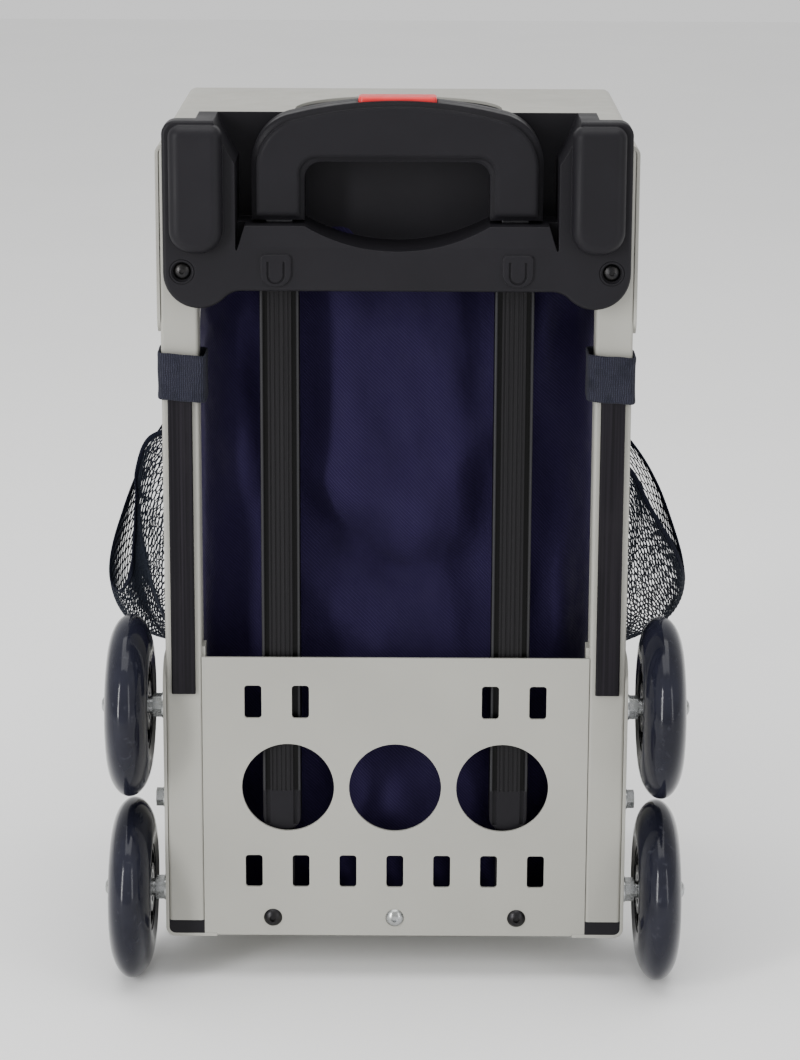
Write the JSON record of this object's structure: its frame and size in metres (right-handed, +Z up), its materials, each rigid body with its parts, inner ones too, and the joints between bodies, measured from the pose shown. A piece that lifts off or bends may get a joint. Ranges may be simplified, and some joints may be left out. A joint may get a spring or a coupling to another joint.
{
  "type": "wheeled shopping trolley",
  "caption": "Upright shopping trolley with a metal seat frame, telescopic pull handle, stacked wheel pairs, zip-front fabric bag and side mesh pockets.",
  "frame": {"origin": "bottom centre of the bounding box, on the floor", "axes": "+X right seen from the handle side, -Y towards the handle side, +Z up"},
  "size_m": [0.369, 0.317, 0.552],
  "materials": {
    "frame_metal": "satin warm grey powder coat",
    "black_plastic": "fine moulded grain",
    "black_alloy": "satin black anodised",
    "dark_alloy": "satin dark anodised",
    "bright_alloy": "satin",
    "black_screw": "black oxide",
    "zinc_steel": "zinc plated",
    "bearing_steel": "polished",
    "urethane": "smoky translucent urethane",
    "hub_plastic": "gloss",
    "red_plastic": "satin gloss",
    "foot_rubber": "matte",
    "navy_fabric": "woven navy",
    "navy_mesh": "hexagonal net",
    "webbing": "ribbed webbing",
    "zip_metal": "dark nickel"
  },
  "bodies": {
    "frame": {"seat_frame": "frame_metal", "base_frame": "frame_metal", "back_plate": "frame_metal", "rear_crossmember": "frame_metal", "post_rear_left": "frame_metal", "post_rear_right": "frame_metal", "post_front_left": "frame_metal", "post_front_right": "frame_metal", "seat_cup": "black_plastic", "post_caps": "black_plastic", "handle_housing": "black_plastic", "glide_strip_left": "black_plastic", "glide_strip_right": "black_plastic", "tube_foot_left": "black_plastic", "tube_foot_right": "black_plastic", "outer_tube_left": "black_alloy", "outer_tube_right": "black_alloy", "housing_screws": "black_screw", "plate_screws_black": "black_screw", "plate_screw_middle": "zinc_steel", "side_bolts": "zinc_steel", "axle_lower_left": "zinc_steel", "axle_lower_right": "zinc_steel", "axle_upper_left": "zinc_steel", "axle_upper_right": "zinc_steel", "front_foot_left": "foot_rubber", "front_foot_right": "foot_rubber", "bag_body": "navy_fabric", "mesh_pocket_left": "navy_mesh", "mesh_pocket_right": "navy_mesh", "strap_left": "webbing", "strap_right": "webbing"},
    "middle_stage": {"middle_tube_left": "dark_alloy", "middle_tube_right": "dark_alloy"},
    "grip_stage": {"inner_tube_left": "bright_alloy", "inner_tube_right": "bright_alloy", "grip_rear_shell": "black_plastic", "grip_front_shell": "black_plastic", "grip_screws": "black_screw", "button_spring": "foot_rubber"},
    "release": {"release_button": "red_plastic", "release_rods": "zinc_steel"},
    "flap": {"front_flap": "navy_fabric"},
    "slider_left": {"zip_slider_left": "zip_metal"},
    "slider_right": {"zip_slider_right": "zip_metal"},
    "wheel_lower_left": {"tyre_lower_left": "urethane", "hub_lower_left": "hub_plastic", "bearings_lower_left": "bearing_steel"},
    "wheel_lower_right": {"tyre_lower_right": "urethane", "hub_lower_right": "hub_plastic", "bearings_lower_right": "bearing_steel"},
    "wheel_upper_left": {"tyre_upper_left": "urethane", "hub_upper_left": "hub_plastic", "bearings_upper_left": "bearing_steel"},
    "wheel_upper_right": {"tyre_upper_right": "urethane", "hub_upper_right": "hub_plastic", "bearings_upper_right": "bearing_steel"}
  },
  "joints": [
    {"name": "handle_lower_slide", "type": "slide", "parent": "frame", "child": "middle_stage", "axis": [0, 0, 1], "range_m": [0, 0.235]},
    {"name": "handle_upper_slide", "type": "slide", "parent": "middle_stage", "child": "grip_stage", "axis": [0, 0, 1], "range_m": [0, 0.235]},
    {"name": "button_press", "type": "slide", "parent": "grip_stage", "child": "release", "axis": [0, 0, -1], "range_m": [0, 0.004], "stiffness_N_per_m": 400, "springref_m": -0.01, "deforming": ["button_spring"]},
    {"name": "flap_hinge", "type": "hinge", "parent": "frame", "child": "flap", "pos_m": [0, 0.1535, 0.056], "axis": [-1, 0, 0], "range_deg": [0, 90]},
    {"name": "zip_left_slide", "type": "slide", "parent": "frame", "child": "slider_left", "axis": [0, 0, -1], "range_m": [0, 0.33]},
    {"name": "zip_right_slide", "type": "slide", "parent": "frame", "child": "slider_right", "axis": [0, 0, -1], "range_m": [0, 0.33]},
    {"name": "wheel_lower_left_spin", "type": "hinge", "parent": "frame", "child": "wheel_lower_left", "pos_m": [-0.163, -0.1025, 0.056], "axis": [1, 0, 0], "continuous": true},
    {"name": "wheel_lower_right_spin", "type": "hinge", "parent": "frame", "child": "wheel_lower_right", "pos_m": [0.163, -0.1025, 0.056], "axis": [1, 0, 0], "continuous": true},
    {"name": "wheel_upper_left_spin", "type": "hinge", "parent": "frame", "child": "wheel_upper_left", "pos_m": [-0.163, -0.1025, 0.1755], "axis": [1, 0, 0], "continuous": true},
    {"name": "wheel_upper_right_spin", "type": "hinge", "parent": "frame", "child": "wheel_upper_right", "pos_m": [0.163, -0.1025, 0.1755], "axis": [1, 0, 0], "continuous": true}
  ]
}
